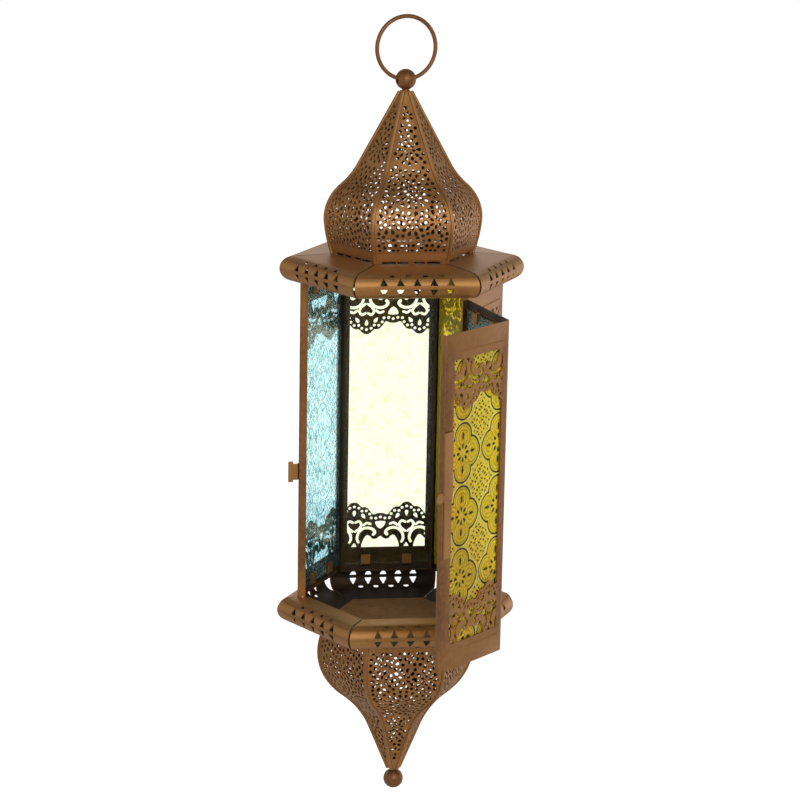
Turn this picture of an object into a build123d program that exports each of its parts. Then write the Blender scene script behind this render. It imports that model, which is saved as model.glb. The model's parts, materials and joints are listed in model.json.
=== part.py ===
from build123d import *

import os
from math import cos, radians, sin, sqrt, tan

# A six-sided hanging lantern of painted sheet metal with panes of pressed glass.
# Millimetres, +Z up. The origin is the inner top of the ring, where a hook bears.
# Face 0 looks along -Y. The faces count anticlockwise seen from above.

# Sheet metal and the gaps between pieces
SHEET = 0.8
SEAT = 0.05
DOOR_GAP = 0.5
MITRE_GAP = 0.8

# Hanging ring and the two ball finials
RING_OUTER_D = 42.0
RING_WIRE_D = 2.6
RING_TURN = 14.0
RING_CLEARANCE = 0.4
BALL_D = 13.1
BALL_RISE = 7.5
NECK_D = 4.6
NECK_DEPTH = 5.0

# Ogee outlines along the middle of a dome and of an onion panel: distance from the axis, height from the eave
OGEE_BASE = (39.4, 0.0)
OGEE_TIP = (3.6, 103.0)
DOME_WIDEST = (43.3, 20.0)
DOME_TURN = (34.4, 44.3)
DOME_STRAIGHT = (25.7, 56.5)
ONION_WIDEST = (44.3, 20.0)
ONION_TURN = (30.0, 50.5)
ONION_STRAIGHT = (14.8, 72.0)
SEAM_WIDTH = 2.3
SEAM_THICK = 0.7

# Piercings of a dome panel: rosettes as (across, along the outline from the base, ring radius)
ROSETTES = ((0.0, 53.0, 6.6), (0.0, 80.0, 4.6), (-13.5, 25.0, 7.4), (13.5, 25.0, 7.4))
ROSETTE_PETALS = 6
PETAL_WIDTH_SHARE = 0.52
PETAL_LENGTH_SHARE = 0.95

# Rolled eaves: how far they stand out past the body, lap in behind it and lap in under the dome
EAVE_OVERHANG = 11.34
EAVE_BODY_LAP = 7.2
EAVE_DOME_LAP = 1.4
EAVE_ROLL_R = 8.0
EAVE_WEB_RISE = 1.5
EAVE_HOLE_PITCH = 10.4
EAVE_HOLES = 5
EAVE_TRIANGLE_WIDTH = 3.7
EAVE_TRIANGLE_HEIGHT = 4.2
EAVE_TRIANGLE_ANGLE = 25.5

# Body panels
BODY_CORNER_R = 66.0
BODY_HEIGHT = 210.5
FLANGE_DEPTH = 5.8
STILE = 6.4
TOP_RAIL = 16.0
BOTTOM_RAIL = 16.0

# Lace bands, measured from the rail: a wavy edge of one bulge each side of a small middle scallop
LACE_VALLEY = 22.5
LACE_BULGE_R = 11.0
LACE_BULGE_REACH = 31.2
LACE_BULGE_OFFSET = 17.8
LACE_SCALLOP_R = 4.6
LACE_SCALLOP_REACH = 24.0

# Glass and its bent tabs
GLASS = 1.8
GLASS_GAP = 0.15
GLASS_LAP_SIDE = 2.6
GLASS_LAP_END = 11.0
TAB_WIDTH = 6.2
TAB_HEIGHT = 7.5
TAB_OFFSET = 14.0

# Door
DOOR_TOP_GAP = 1.0
DOOR_BOTTOM_GAP = 3.2
DOOR_OPEN = 103.6
DOOR_LATCH_GAP = 2.85
DOOR_LATCH_STILE = 9.4

# Hinges
HINGE_OUT = 2.0
HINGE_BARREL_R = 1.4
HINGE_PIN_R = 0.7
HINGE_RUNNING = 0.05
HINGE_KNUCKLE = 5.0
HINGE_KNUCKLE_GAP = 0.3
HINGE_LEAF = 8.0
HINGE_FROM_END = 32.0

# Latch strap on the door and the catch at the left corner
STRAP_THICK = 1.0
STRAP_EDGE = 0.8
STRAP_WIDE = 8.0
STRAP_NARROW = 6.0
STRAP_ABOVE = 42.0
STRAP_BELOW = 35.0
STRAP_LEVEL = 109.5
FINGER_TAB_R = 3.2
FINGER_TAB_REACH = 6.0
FINGER_TAB_THICK = 0.6
CATCH_LEVEL = 84.6
CATCH_HEAD = 13.7
CATCH_NECK = 10.7
CATCH_REACH = 6.0
CATCH_HEAD_REACH = 3.2
CATCH_LEAF = 7.0
CATCH_GAP = 0.3

# Floor plate, how far it laps over the edge of the eave's hole
FLOOR_LAP = 3.0

# Levels and places that follow from the sizes above
HALF_ANGLE = 30.0
COS_HALF = cos(radians(HALF_ANGLE))
SIN_HALF = sin(radians(HALF_ANGLE))
TAN_HALF = tan(radians(HALF_ANGLE))
RING_R = (RING_OUTER_D - RING_WIRE_D) / 2
RING_CENTRE_Z = RING_WIRE_D / 2 - RING_R
BALL_TOP_Z = RING_CENTRE_Z - RING_R
DOME_BASE_Z = BALL_TOP_Z - BALL_RISE - OGEE_TIP[1]
TOP_CREST_Z = DOME_BASE_Z - EAVE_WEB_RISE - EAVE_ROLL_R
BODY_TOP_Z = TOP_CREST_Z - EAVE_ROLL_R
BODY_BOTTOM_Z = BODY_TOP_Z - BODY_HEIGHT
BOTTOM_CREST_Z = BODY_BOTTOM_Z - EAVE_ROLL_R
ONION_BASE_Z = BOTTOM_CREST_Z - EAVE_ROLL_R - EAVE_WEB_RISE
BALL_BOTTOM_Z = ONION_BASE_Z - OGEE_TIP[1] - BALL_RISE
BODY_APOTHEM = BODY_CORNER_R * COS_HALF
EAVE_APOTHEM = BODY_APOTHEM + EAVE_OVERHANG
EAVE_FLANGE_APOTHEM = BODY_APOTHEM - EAVE_BODY_LAP
EAVE_HOLE_APOTHEM = OGEE_BASE[0] - EAVE_DOME_LAP
FLOOR_APOTHEM = EAVE_HOLE_APOTHEM + FLOOR_LAP
HALF_SIDE = BODY_CORNER_R * SIN_HALF
DOOR_TOP_Z = BODY_TOP_Z - DOOR_TOP_GAP
DOOR_BOTTOM_Z = BODY_BOTTOM_Z + DOOR_BOTTOM_GAP
HINGE_R = BODY_CORNER_R + HINGE_OUT
HINGE_AXIS = Axis((HINGE_R * SIN_HALF, -HINGE_R * COS_HALF, 0), (0, 0, 1))
FAR = 2 * EAVE_APOTHEM

# The upright plane through the axis and the middle of face 0: x runs outwards, y up
SECTION = Plane(origin=(0, 0, 0), x_dir=(0, -1, 0), z_dir=(-1, 0, 0))


def on_face(shape, face):
    """Turn a piece made for face 0 to another face."""
    return shape.rotate(Axis.Z, 60 * face)


def wedge(gap):
    """The upright 60 degree wedge of face 0, drawn in by half the gap on both sides."""
    apex = gap / 2 / SIN_HALF
    plan = Polygon((0, -apex), (FAR * TAN_HALF, -FAR - apex), (-FAR * TAN_HALF, -FAR - apex), align=None)
    return extrude(plan, amount=4 * FAR, both=True)


def bent_sheet(outline, thickness):
    """A sheet that follows an open outline of the section plane, as wide as any face."""
    rim = outline.offset_2d(thickness, side=Side.RIGHT, closed=True)
    return extrude(SECTION * make_face(rim.edges()), amount=EAVE_APOTHEM, both=True)


def sheet_plane(outline, along, across):
    """A plane on the sheet so far along from its base: x across the face, y up the sheet, z out of it."""
    down = outline.length - along
    point = outline.position_at(down, position_mode=PositionMode.LENGTH)
    slope = outline.tangent_at(down, position_mode=PositionMode.LENGTH)
    return Plane(origin=(across, -point.X, point.Y), x_dir=(1, 0, 0), z_dir=(0, slope.Y, slope.X))


def pierced(sheet, holes):
    """Cut flat hole outlines, each placed on the sheet, through the sheet."""
    tools = [extrude(hole, amount=2 * SHEET, both=True) for hole in holes]
    return sheet - tools


def ogee_outline(start, turn, widest):
    """Outer outline of an ogee panel, from its tip along the straight, the hollow and the bulge to its base."""
    straight = Line(OGEE_TIP, start)
    hollow = TangentArc(start, turn, tangent=straight % 1)
    bulge = TangentArc(turn, widest, tangent=hollow % 1)
    foot = TangentArc(widest, OGEE_BASE, tangent=bulge % 1)
    return Wire([straight.edge(), hollow.edge(), bulge.edge(), foot.edge()])


def rosette(outline, across, along, ring):
    """Kite-shaped petals round a point of the panel, their sharp ends to the middle."""
    length = PETAL_LENGTH_SHARE * ring
    width = PETAL_WIDTH_SHARE * ring
    petal = Polygon((0, -length / 2), (width / 2, length / 8), (0, length / 2), (-width / 2, length / 8), align=None)
    petals = []
    for k in range(ROSETTE_PETALS):
        turn = 360 / ROSETTE_PETALS * k
        x = across - ring * sin(radians(turn))
        s = along + ring * cos(radians(turn))
        petals.append(sheet_plane(outline, s, x) * Rot(Z=turn) * petal)
    return petals


def ogee_panel(outline):
    """One pierced ogee panel of face 0, standing on the level z = 0."""
    sheet = bent_sheet(outline, SHEET) & wedge(2 * SEAT)
    sheet = split(sheet, Plane.XY.offset(SEAT), keep=Keep.TOP)
    holes = []
    for across, along, ring in ROSETTES:
        holes += rosette(outline, across, along, ring)
    return pierced(sheet, holes)


def seam_strip(outline):
    """Strip bent over the seam at the right-hand corner of face 0, standing on z = 0."""
    skin = outline.offset_2d(SEAT, side=Side.LEFT, closed=False)
    sheet = bent_sheet(skin, SEAM_THICK)
    out = Vector(SIN_HALF, -COS_HALF)
    side = Vector(-COS_HALF, -SIN_HALF) * (SEAM_WIDTH / 2)
    band = extrude(Polygon((0, 0), out * FAR, out * FAR + side, side, align=None), amount=4 * FAR, both=True)
    half = split(sheet & band, Plane.XY.offset(SEAT), keep=Keep.TOP)
    return half + half.mirror(Plane(origin=(0, 0, 0), z_dir=(COS_HALF, SIN_HALF, 0)))


def eave_strip():
    """One rolled eave strip of face 0: crest at z = 0, web to the dome above, flange to the body below."""
    roll = EAVE_APOTHEM - EAVE_ROLL_R
    web = Line((EAVE_HOLE_APOTHEM, EAVE_ROLL_R + EAVE_WEB_RISE), (roll, EAVE_ROLL_R))
    crest = ThreePointArc((roll, EAVE_ROLL_R), (EAVE_APOTHEM, 0), (roll, -EAVE_ROLL_R))
    flange = Line((roll, -EAVE_ROLL_R), (EAVE_FLANGE_APOTHEM, -EAVE_ROLL_R))
    outline = Wire([web.edge(), crest.edge(), flange.edge()])
    sheet = bent_sheet(outline, SHEET) & wedge(MITRE_GAP)
    half_width = EAVE_TRIANGLE_WIDTH / 2
    half_height = EAVE_TRIANGLE_HEIGHT / 2
    triangle = Polygon((-half_width, -half_height), (half_width, -half_height), (0, half_height), align=None)
    holes = []
    for angle, turn in ((EAVE_TRIANGLE_ANGLE, 0), (-EAVE_TRIANGLE_ANGLE, 180)):
        out = (0, -cos(radians(angle)), sin(radians(angle)))
        for k in range(EAVE_HOLES):
            across = EAVE_HOLE_PITCH * (k - (EAVE_HOLES - 1) / 2)
            place = Plane(
                origin=(across, -roll + EAVE_ROLL_R * out[1], EAVE_ROLL_R * out[2]),
                x_dir=(1, 0, 0),
                z_dir=out,
            )
            holes.append(place * Rot(Z=turn) * triangle)
    return pierced(sheet, holes)


def tray(left, right, bottom, top):
    """Face sheet between two ends with a flange folded in along the corner plane at each end."""
    depth = FLANGE_DEPTH * COS_HALF
    run = FLANGE_DEPTH * SIN_HALF
    lean = SHEET * TAN_HALF + SHEET / COS_HALF
    slant = (depth - SHEET) * TAN_HALF
    outer = Polygon(
        (left, -BODY_APOTHEM),
        (right, -BODY_APOTHEM),
        (right - run, depth - BODY_APOTHEM),
        (left + run, depth - BODY_APOTHEM),
        align=None,
    )
    inner = Polygon(
        (left + lean, SHEET - BODY_APOTHEM),
        (right - lean, SHEET - BODY_APOTHEM),
        (right - lean - slant, depth - BODY_APOTHEM),
        (left + lean + slant, depth - BODY_APOTHEM),
        align=None,
    )
    return extrude(Plane.XY.offset(bottom) * (outer - inner), amount=top - bottom)


def lace_holes(shift):
    """Main piercings of one lace band: z = 0 at the rail, the band reaching to -z."""
    reach = LACE_BULGE_OFFSET
    arch = Polygon((-13, 0), (13, 0), (8.5, -8.8), (0, -6.6), (-8.5, -8.8), align=None)
    bell = Polygon((-3.4, -17.8), (3.4, -17.8), (2.7, -14), (0, -12.5), (-2.7, -14), align=None)
    heart = Polygon((0, -10.6), (5, -15.8), (3, -18.8), (0, -17.4), (-3, -18.8), (-5, -15.8), align=None)
    drop = Polygon((0, -21.4), (1.6, -25), (0, -26.4), (-1.6, -25), align=None)
    holes = arch + bell
    for side in (-reach, reach):
        holes += Pos(side, 0) * heart
        holes += Pos(side, 0) * drop
    return Pos(shift, 0) * holes


def lace_band(width, shift):
    """Solid outline of one lace band below z = 0, before its piercings."""
    band = Pos(0, -LACE_VALLEY / 2) * Rectangle(width, LACE_VALLEY)
    band += Pos(shift, LACE_SCALLOP_R - LACE_SCALLOP_REACH) * Circle(LACE_SCALLOP_R)
    for side in (-LACE_BULGE_OFFSET, LACE_BULGE_OFFSET):
        band += Pos(shift + side, LACE_BULGE_R - LACE_BULGE_REACH) * Circle(LACE_BULGE_R)
    return band


def window_sketch(width, height, shift_top, shift_bottom):
    """Open parts of a panel window, centred: the light between the lace bands and the lace holes."""
    light = Rectangle(width, height)
    opening = light - Pos(0, height / 2) * lace_band(width, shift_top)
    opening -= Rot(Z=180) * Pos(0, height / 2) * lace_band(width, -shift_bottom)
    holes = Pos(0, height / 2) * lace_holes(shift_top)
    holes += Rot(Z=180) * Pos(0, height / 2) * lace_holes(-shift_bottom)
    return opening + (holes & light)


def glass_tab(middle, edge, up):
    """Strip bent inwards past the glass edge and along the back of the pane."""
    back = BODY_APOTHEM - SHEET - 2 * GLASS_GAP - GLASS
    reach = BODY_APOTHEM - SHEET - back + SHEET
    foot_z = edge - up * (GLASS_GAP + SHEET / 2)
    foot = Pos(middle, -BODY_APOTHEM + SHEET + reach / 2, foot_z) * Box(TAB_WIDTH, reach, SHEET)
    leaf_z = foot_z + up * (TAB_HEIGHT - SHEET) / 2
    leaf = Pos(middle, -back + SHEET / 2, leaf_z) * Box(TAB_WIDTH, SHEET, TAB_HEIGHT)
    return foot + leaf


def panel(left, right, stiles, levels, shifts):
    """Frame and pane of one body face: ends and stiles left and right, levels bottom and top."""
    bottom, top = levels
    light_left = left + stiles[0]
    light_right = right - stiles[1]
    light_bottom = bottom + BOTTOM_RAIL
    light_top = top - TOP_RAIL
    middle = (light_left + light_right) / 2
    width = light_right - light_left
    height = light_top - light_bottom
    front = Plane(
        origin=(middle, -BODY_APOTHEM, (light_bottom + light_top) / 2),
        x_dir=(1, 0, 0),
        z_dir=(0, -1, 0),
    )
    window = window_sketch(width, height, *shifts)
    frame = tray(left, right, bottom, top) - extrude(front * window, amount=1.5 * SHEET, both=True)
    glass_bottom = light_bottom - GLASS_LAP_END
    glass_top = light_top + GLASS_LAP_END
    for side in (-TAB_OFFSET, TAB_OFFSET):
        frame += glass_tab(middle + side, glass_bottom, 1)
        frame += glass_tab(middle + side, glass_top, -1)
    pane = Box(width + 2 * GLASS_LAP_SIDE, GLASS, glass_top - glass_bottom)
    pane_y = GLASS / 2 + SHEET + GLASS_GAP - BODY_APOTHEM
    return frame, Pos(middle, pane_y, (glass_bottom + glass_top) / 2) * pane


def finial(bored):
    """Ball at the origin with its neck hanging below, bored across for the ring or plain."""
    neck_length = BALL_RISE + NECK_DEPTH
    ball = Sphere(BALL_D / 2) + Pos(0, 0, -neck_length / 2) * Cylinder(NECK_D / 2, neck_length)
    if not bored:
        return ball
    throat = RING_WIRE_D / 2 + RING_CLEARANCE
    half = BALL_D / 2 + RING_CLEARANCE
    mouth = RING_R - sqrt((RING_R - throat) ** 2 - half**2)
    edges = [
        Line((-half, 0), (half, 0)),
        Line((half, 0), (half, mouth)),
        ThreePointArc((half, mouth), (0, throat), (-half, mouth)),
        Line((-half, mouth), (-half, 0)),
    ]
    hole = revolve(make_face(edges), axis=Axis.X)
    return ball - hole.rotate(Axis.Z, RING_TURN)


def hinge(level):
    """Fixed leaf, door leaf and pin of one closed hinge whose middle is at a level."""
    axis = Pos(HINGE_AXIS.position.X, HINGE_AXIS.position.Y, level)
    pitch = HINGE_KNUCKLE + HINGE_KNUCKLE_GAP
    height = 3 * HINGE_KNUCKLE + 2 * HINGE_KNUCKLE_GAP
    barrel = Cylinder(HINGE_BARREL_R, HINGE_KNUCKLE)
    sweep = Cylinder(HINGE_OUT + HINGE_KNUCKLE_GAP, HINGE_KNUCKLE + 2 * HINGE_KNUCKLE_GAP)
    outer = [axis * Pos(0, 0, side * pitch) for side in (-1, 1)]
    leaf_y = -BODY_APOTHEM - SEAT - SHEET / 2
    middle = HINGE_AXIS.position.X
    leaf = Pos(middle - HINGE_LEAF / 2, leaf_y, level) * Box(HINGE_LEAF, SHEET, height)
    flip = Plane(origin=(0, 0, 0), z_dir=(COS_HALF, SIN_HALF, 0))
    fixed = leaf.mirror(flip) - axis * sweep
    fixed += [place * barrel for place in outer]
    fixed -= axis * Cylinder(HINGE_PIN_R + SEAT, 2 * height)
    moving = leaf - [place * sweep for place in outer]
    moving += axis * barrel
    moving -= axis * Cylinder(HINGE_PIN_R + HINGE_RUNNING, 2 * height)
    pin = axis * Cylinder(HINGE_PIN_R, height)
    return fixed, moving, pin


def latch_strap(free_edge):
    """Strap along the free edge of the side door frame, with a round finger tab past the edge."""
    step = BODY_BOTTOM_Z + STRAP_LEVEL
    start = free_edge + STRAP_EDGE
    wide = Pos(start + STRAP_WIDE / 2, step + STRAP_ABOVE / 2) * Rectangle(STRAP_WIDE, STRAP_ABOVE)
    narrow = Pos(start + STRAP_WIDE / 2, step - STRAP_BELOW / 2) * Rectangle(STRAP_NARROW, STRAP_BELOW)
    tab_middle = free_edge + FINGER_TAB_R - FINGER_TAB_REACH
    tab = Pos(tab_middle, step + FINGER_TAB_R) * Circle(FINGER_TAB_R)
    neck_length = start + STRAP_WIDE / 2 - tab_middle
    tab += Pos(tab_middle + neck_length / 2, step + FINGER_TAB_R) * Rectangle(neck_length, FINGER_TAB_R)
    front = Plane(origin=(0, -BODY_APOTHEM - SEAT, 0), x_dir=(1, 0, 0), z_dir=(0, -1, 0))
    strap = extrude(front * (wide + narrow), amount=STRAP_THICK)
    lifted = front.offset(STRAP_THICK - FINGER_TAB_THICK)
    return strap + extrude(lifted * tab, amount=FINGER_TAB_THICK)


def door_catch():
    """Angle strip at the right-hand corner of face 0: a leaf on the face and an ear past the corner."""
    level = BODY_BOTTOM_Z + CATCH_LEVEL
    leaf_y = -BODY_APOTHEM - SEAT - SHEET / 2
    leaf = Pos(HALF_SIDE - CATCH_LEAF / 2 - SHEET, leaf_y, level) * Box(CATCH_LEAF, SHEET, CATCH_NECK)
    corner = Plane(
        origin=(HALF_SIDE - CATCH_GAP * COS_HALF, -BODY_APOTHEM - CATCH_GAP * SIN_HALF, level),
        x_dir=(SIN_HALF, -COS_HALF, 0),
        z_dir=(-COS_HALF, -SIN_HALF, 0),
    )
    neck = Pos(CATCH_REACH / 2, 0) * Rectangle(CATCH_REACH, CATCH_NECK)
    head = Pos(CATCH_REACH - CATCH_HEAD_REACH / 2, 0) * Rectangle(CATCH_HEAD_REACH, CATCH_HEAD)
    return leaf + extrude(corner * (neck + head), amount=SHEET)


def swung(shape):
    """Turn a piece of the closed door about the hinge to where the door stands open."""
    return shape.rotate(HINGE_AXIS, DOOR_OPEN)


# Hanging ring and finials
parts = {}
ring = Torus(RING_R, RING_WIRE_D / 2).rotate(Axis.X, 90).rotate(Axis.Z, RING_TURN)
parts["hanging_ring"] = Pos(0, 0, RING_CENTRE_Z) * ring
parts["top_finial"] = Pos(0, 0, BALL_TOP_Z) * finial(True)
parts["bottom_finial"] = Pos(0, 0, BALL_BOTTOM_Z) * finial(False).mirror(Plane.XY)

# Dome and eave above, and the onion and the same eave turned over below
dome_outline = ogee_outline(DOME_STRAIGHT, DOME_TURN, DOME_WIDEST)
onion_outline = ogee_outline(ONION_STRAIGHT, ONION_TURN, ONION_WIDEST)
dome_piece = ogee_panel(dome_outline)
onion_piece = ogee_panel(onion_outline).mirror(Plane.XY)
dome_seam = seam_strip(dome_outline)
onion_seam = seam_strip(onion_outline).mirror(Plane.XY)
eave_piece = eave_strip()
dome_place = Pos(0, 0, DOME_BASE_Z)
onion_place = Pos(0, 0, ONION_BASE_Z)
for k in range(6):
    parts[f"dome_panel_{k + 1}"] = dome_place * on_face(dome_piece, k)
    parts[f"onion_panel_{k + 1}"] = onion_place * on_face(onion_piece, k)
    parts[f"top_eave_{k + 1}"] = Pos(0, 0, TOP_CREST_Z) * on_face(eave_piece, k)
    parts[f"bottom_eave_{k + 1}"] = Pos(0, 0, BOTTOM_CREST_Z) * on_face(eave_piece.mirror(Plane.XY), k)
parts["dome_seam_strips"] = Compound([dome_place * on_face(dome_seam, k) for k in range(6)])
parts["onion_seam_strips"] = Compound([onion_place * on_face(onion_seam, k) for k in range(6)])

# Floor plate on the bottom eave's webs
floor_corner_r = FLOOR_APOTHEM / COS_HALF
web_slope = EAVE_WEB_RISE / (EAVE_APOTHEM - EAVE_ROLL_R - EAVE_HOLE_APOTHEM)
floor_z = ONION_BASE_Z + SHEET + SEAT + web_slope * (FLOOR_APOTHEM - EAVE_HOLE_APOTHEM)
parts["floor_plate"] = extrude(Plane.XY.offset(floor_z) * RegularPolygon(floor_corner_r, 6), amount=SHEET)

# Four fixed panels, then the two panels of the door
inset = SEAT / COS_HALF
door_inset = DOOR_GAP / 2 / COS_HALF
fixed_levels = (BODY_BOTTOM_Z + SEAT, BODY_TOP_Z - SEAT)
fixed_shifts = {1: (3.0, -4.0), 2: (-5.0, 2.0), 3: (-2.4, 4.0), 4: (4.0, -3.0)}
for k, shifts in fixed_shifts.items():
    left = -HALF_SIDE + (door_inset if k == 1 else inset)
    frame, pane = panel(left, HALF_SIDE - inset, (STILE, STILE), fixed_levels, shifts)
    parts[f"side_frame_{k}"] = on_face(frame, k)
    parts[f"side_glass_{k}"] = on_face(pane, k)

door_levels = (DOOR_BOTTOM_Z, DOOR_TOP_Z)
frame, pane = panel(inset - HALF_SIDE, HALF_SIDE - door_inset, (STILE, STILE), door_levels, (2.0, -2.0))
parts["door_frame_front"] = swung(frame)
parts["door_glass_front"] = swung(pane)
free_edge = DOOR_LATCH_GAP - HALF_SIDE
frame, pane = panel(free_edge, HALF_SIDE - inset, (DOOR_LATCH_STILE, STILE), door_levels, (7.4, -2.0))
parts["door_frame_side"] = swung(on_face(frame, -1))
parts["door_glass_side"] = swung(on_face(pane, -1))

# Hinges, latch strap and catch
for name, level in (("upper", BODY_TOP_Z - HINGE_FROM_END), ("lower", BODY_BOTTOM_Z + HINGE_FROM_END)):
    fixed, moving, pin = hinge(level)
    parts[f"body_hinge_leaf_{name}"] = fixed
    parts[f"door_hinge_leaf_{name}"] = swung(moving)
    parts[f"hinge_pin_{name}"] = pin
parts["latch_strap"] = swung(on_face(latch_strap(free_edge), -1))
parts["door_catch"] = on_face(door_catch(), 4)

os.makedirs("parts", exist_ok=True)
for name, shape in parts.items():
    export_step(shape, f"parts/{name}.step")
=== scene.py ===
import json
from math import atan2, cos, pi, radians, sin, tan

import bpy
import numpy as np
from mathutils import Matrix, Vector
from mathutils.geometry import delaunay_2d_cdt


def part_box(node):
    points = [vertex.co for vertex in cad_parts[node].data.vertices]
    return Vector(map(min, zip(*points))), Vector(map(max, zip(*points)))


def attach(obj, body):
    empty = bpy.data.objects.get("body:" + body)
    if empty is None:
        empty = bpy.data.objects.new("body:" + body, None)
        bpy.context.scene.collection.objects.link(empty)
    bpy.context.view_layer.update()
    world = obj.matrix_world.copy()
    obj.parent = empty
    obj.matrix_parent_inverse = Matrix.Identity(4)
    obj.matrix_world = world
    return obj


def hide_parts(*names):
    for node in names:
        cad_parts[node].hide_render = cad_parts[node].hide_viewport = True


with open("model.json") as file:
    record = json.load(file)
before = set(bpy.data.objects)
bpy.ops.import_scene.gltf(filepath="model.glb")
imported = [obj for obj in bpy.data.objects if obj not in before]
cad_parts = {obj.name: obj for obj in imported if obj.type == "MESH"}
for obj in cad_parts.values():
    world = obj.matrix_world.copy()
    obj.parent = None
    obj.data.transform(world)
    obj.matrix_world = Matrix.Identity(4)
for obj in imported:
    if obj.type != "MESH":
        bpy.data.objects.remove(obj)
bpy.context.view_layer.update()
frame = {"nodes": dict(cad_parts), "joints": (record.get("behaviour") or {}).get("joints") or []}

bl_info = {
    "name": "Fanous lantern",
    "version": (1, 0, 0),
    "blender": (4, 5, 0),
    "location": "3D View > Sidebar > Lantern",
    "description": "Pierced bronze sheet, pressed glass and studio for a six-sided hanging lantern",
    "category": "Object",
}

# Lengths are in millimetres unless a property carries a length unit
MM = 0.001


def node_box(node):
    """Lowest and highest corner of a CAD node, in millimetres."""
    low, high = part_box(node)
    return low / MM, high / MM


# Places read from the frame
SEAT = 0.05
HALF_TAN = tan(radians(30))
DOME_BASE = node_box("dome_panel_1")[0].z - SEAT
ONION_BASE = node_box("onion_panel_1")[1].z + SEAT
EAVE_OUT = -node_box("top_eave_1")[0].y
EAVE_IN = -node_box("top_eave_1")[1].y + SEAT
TOP_CREST = node_box("top_eave_1")[0].z
BACK_LOW, BACK_HIGH = node_box("side_frame_3")
BODY_APOTHEM = BACK_HIGH.y
DOOR_LOW, DOOR_HIGH = node_box("door_frame_front")
PANE_BACK = node_box("side_glass_3")[0].y
PANE_FRONT = node_box("side_glass_3")[1].y
DOOR_JOINT = next(joint for joint in frame["joints"] if joint["name"] == "door_swing")
HINGE = Vector(DOOR_JOINT["pos_m"]) / MM
DOOR_OPEN = radians(-DOOR_JOINT["range_deg"][0])

# Widths of the body frames' borders and how far the panes reach behind them
STILE = 6.4
LATCH_STILE = 9.4
LATCH_GAP = 2.85
RAIL = 16.0
PANE_LAP_SIDE = 2.6
PANE_LAP_END = 11.0
FLANGE_START = 1.0
FRAME_FLANGE = 5.8
FOLD_RADIUS = 1.0

# Frames and panes reach from corner to corner of a face, less what they stand off their neighbours
HINGE_CLEAR = 0.25
BODY_HALF = BODY_APOTHEM * HALF_TAN
SEAT_SIDE = SEAT / cos(radians(30))
HINGE_SIDE = HINGE_CLEAR / cos(radians(30))
SIDE_ENDS = {k: (-BODY_HALF + (HINGE_SIDE if k == 1 else SEAT_SIDE), BODY_HALF - SEAT_SIDE) for k in (1, 2, 3, 4)}
DOOR_FRONT_ENDS = (SEAT_SIDE - BODY_HALF, BODY_HALF - HINGE_SIDE)
DOOR_SIDE_ENDS = (LATCH_GAP - BODY_HALF, BODY_HALF - SEAT_SIDE)

# Bent tabs behind the panes and beads on the rails
TAB_OFFSET = 14.0
TAB_HALF = 3.1
TAB_HEIGHT = 7.5
TAB_GAP = 0.15
BEAD_LEVEL = 4.6
BEAD_PITCH = 2.0

# Eaves
EAVE_ROLL = 8.0
EAVE_WEB_RISE = 1.5

# Ogee outlines along the middle of a panel: distance from the axis, height from the eave
OGEE_BASE = (39.4, 0.0)
OGEE_TIP = (3.6, 103.0)
DOME_TURNS = ((43.3, 20.0), (34.4, 44.3), (25.7, 56.5))
ONION_TURNS = ((44.3, 20.0), (30.0, 50.5), (14.8, 72.0))


class SheetSizes(bpy.types.PropertyGroup):
    """Sheet metal of the panels, eaves and frames."""

    thickness: bpy.props.FloatProperty(
        name="Thickness", description="Thickness of the sheet", default=0.8 * MM, unit="LENGTH"
    )
    mitre_gap: bpy.props.FloatProperty(
        name="Mitre gap", description="Gap between two eave strips at a corner", default=0.8 * MM, unit="LENGTH"
    )
    front_bow: bpy.props.FloatProperty(
        name="Front bow", description="How much the ends of an eave strip bow in on the roll",
        default=0.3 * MM, unit="LENGTH",
    )
    back_bow: bpy.props.FloatProperty(
        name="Back bow", description="The same for the lower strips under the fixed frames",
        default=2.5 * MM, unit="LENGTH",
    )
    door_flange: bpy.props.FloatProperty(
        name="Door flange", description="How far an eave reaches under the door", default=7.2 * MM, unit="LENGTH"
    )
    side_flange: bpy.props.FloatProperty(
        name="Side flange", description="How far an eave reaches under a fixed frame", default=1.5 * MM, unit="LENGTH"
    )


class PierceSizes(bpy.types.PropertyGroup):
    """Holes punched through the dome panels and the eaves."""

    fill_hole: bpy.props.FloatProperty(
        name="Fill hole", description="Diameter of the small holes between rosettes", default=2.5 * MM, unit="LENGTH"
    )
    fill_pitch: bpy.props.FloatProperty(
        name="Fill pitch", description="Least distance between hole middles", default=3.3 * MM, unit="LENGTH"
    )
    eave_pitch: bpy.props.FloatProperty(
        name="Eave pitch", description="Distance between triangles on an eave", default=10.4 * MM, unit="LENGTH"
    )
    eave_count: bpy.props.IntProperty(
        name="Eave count", description="Triangles in a row on an eave strip", default=5, min=1
    )


class LaceSizes(bpy.types.PropertyGroup):
    """Lace bands of the body frames."""

    period: bpy.props.FloatProperty(
        name="Period", description="Width of one repeat of the lace", default=35.6 * MM, unit="LENGTH"
    )
    slot: bpy.props.FloatProperty(
        name="Slot", description="Width of the scroll slots", default=1.8 * MM, unit="LENGTH"
    )
    pearl: bpy.props.FloatProperty(
        name="Pearl", description="Diameter of the pearl holes", default=2.1 * MM, unit="LENGTH"
    )


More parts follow.
